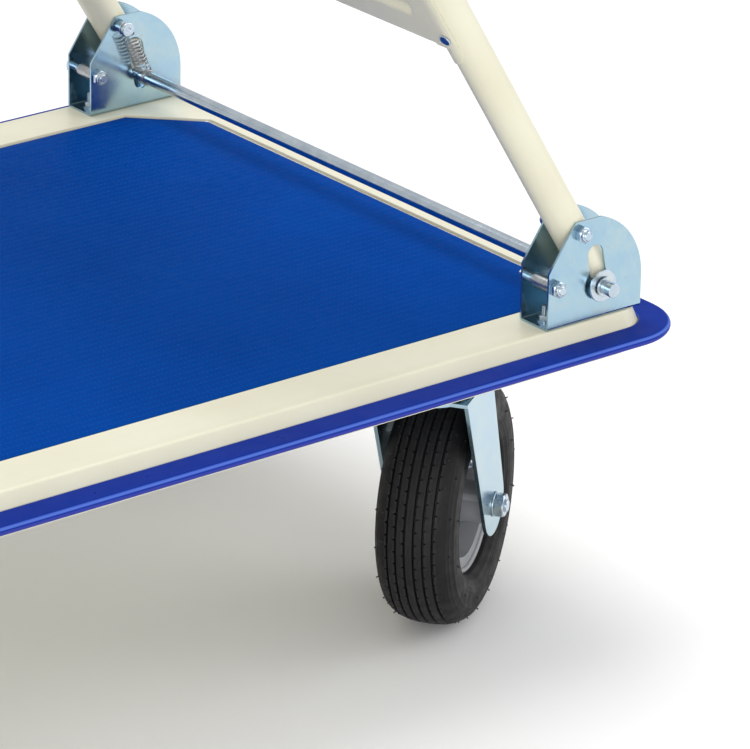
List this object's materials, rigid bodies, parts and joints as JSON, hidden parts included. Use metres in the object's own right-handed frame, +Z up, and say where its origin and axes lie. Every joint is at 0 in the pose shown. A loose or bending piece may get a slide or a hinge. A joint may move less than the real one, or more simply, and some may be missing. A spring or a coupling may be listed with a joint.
{
  "type": "folding platform cart",
  "caption": "Platform cart with a steel deck, vinyl mat and bumper, a tube handle that folds down onto the deck, and pneumatic casters, two of them swivelling.",
  "frame": {"origin": "on the floor under the centre of the deck", "axes": "+X towards the handle end, +Y to the right of someone facing -X, +Z up"},
  "size_m": [1.22, 0.76, 0.9336],
  "materials": {
    "cream_paint": "smooth satin powder coat",
    "mat_vinyl": "embossed vinyl sheet",
    "bumper_vinyl": "smooth moulded vinyl",
    "zinc_plate": "bright zinc plated sheet",
    "zinc_fastener": "bright zinc plated",
    "bright_rod": "polished and plated",
    "steel": "plain steel",
    "tyre_rubber": "ribbed rubber",
    "tube_rubber": "smooth rubber",
    "rim_paint": "grey powder coat"
  },
  "bodies": {
    "deck": {"deck_pan": "cream_paint", "deck_mat": "mat_vinyl", "bumper": "bumper_vinyl", "side_rails": "cream_paint", "cross_members": "cream_paint", "end_rails": "cream_paint", "left_bracket": "zinc_plate", "right_bracket": "zinc_plate", "bracket_bolts": "zinc_fastener", "bracket_nuts": "zinc_fastener", "pivot_bolts": "zinc_fastener", "pivot_nuts": "zinc_fastener", "stop_bolts": "zinc_fastener", "stop_sleeves": "steel", "stop_nuts": "zinc_fastener", "return_springs": "steel", "caster_bolts": "zinc_fastener", "caster_nuts": "zinc_fastener", "rear_left_plate": "zinc_plate", "rear_right_plate": "zinc_plate", "rear_left_kingpin": "steel", "rear_right_kingpin": "steel", "front_left_fork": "zinc_plate", "front_right_fork": "zinc_plate", "front_axles": "zinc_fastener", "front_spacers": "steel"},
    "handle": {"handle_tube": "cream_paint", "handle_panel": "cream_paint", "panel_screws": "zinc_fastener"},
    "release_rod": {"release_rod": "bright_rod", "rod_washers": "zinc_fastener", "rod_clips": "zinc_fastener"},
    "swivel_left": {"rear_left_balls": "steel", "rear_left_fork": "zinc_plate", "rear_left_axle": "zinc_fastener", "rear_left_spacers": "steel"},
    "swivel_right": {"rear_right_balls": "steel", "rear_right_fork": "zinc_plate", "rear_right_axle": "zinc_fastener", "rear_right_spacers": "steel"},
    "wheel_rear_left": {"rear_left_tyre": "tyre_rubber", "rear_left_tube": "tube_rubber", "rear_left_rim": "rim_paint", "rear_left_rim_bolts": "zinc_fastener", "rear_left_bearings": "steel"},
    "wheel_rear_right": {"rear_right_tyre": "tyre_rubber", "rear_right_tube": "tube_rubber", "rear_right_rim": "rim_paint", "rear_right_rim_bolts": "zinc_fastener", "rear_right_bearings": "steel"},
    "wheel_front_left": {"front_left_tyre": "tyre_rubber", "front_left_tube": "tube_rubber", "front_left_rim": "rim_paint", "front_left_rim_bolts": "zinc_fastener", "front_left_bearings": "steel"},
    "wheel_front_right": {"front_right_tyre": "tyre_rubber", "front_right_tube": "tube_rubber", "front_right_rim": "rim_paint", "front_right_rim_bolts": "zinc_fastener", "front_right_bearings": "steel"}
  },
  "joints": [
    {"name": "handle_fold", "type": "hinge", "parent": "deck", "child": "handle", "pos_m": [0.5047, 0, 0.3719], "axis": [0, -1, 0], "range_deg": [-37.4, 64.2]},
    {"name": "rod_release", "type": "slide", "parent": "deck", "child": "release_rod", "axis": [0.1994, 0, -0.9799], "range_m": [0, 0.0075], "stiffness_N_per_m": 1500, "springref_m": -0.015, "deforming": ["return_springs"]},
    {"name": "swivel_left_turn", "type": "hinge", "parent": "deck", "child": "swivel_left", "pos_m": [0.3975, -0.278, 0.243], "axis": [0, 0, 1], "continuous": true},
    {"name": "swivel_right_turn", "type": "hinge", "parent": "deck", "child": "swivel_right", "pos_m": [0.3975, 0.278, 0.243], "axis": [0, 0, 1], "continuous": true},
    {"name": "wheel_rear_left_spin", "type": "hinge", "parent": "swivel_left", "child": "wheel_rear_left", "pos_m": [0.44724, -0.24445, 0.11], "axis": [-0.5592, 0.829, 0], "continuous": true},
    {"name": "wheel_rear_right_spin", "type": "hinge", "parent": "swivel_right", "child": "wheel_rear_right", "pos_m": [0.44724, 0.24445, 0.11], "axis": [0.5592, 0.829, 0], "continuous": true},
    {"name": "wheel_front_left_spin", "type": "hinge", "parent": "deck", "child": "wheel_front_left", "pos_m": [-0.3975, -0.278, 0.11], "axis": [0, 1, 0], "continuous": true},
    {"name": "wheel_front_right_spin", "type": "hinge", "parent": "deck", "child": "wheel_front_right", "pos_m": [-0.3975, 0.278, 0.11], "axis": [0, 1, 0], "continuous": true}
  ]
}
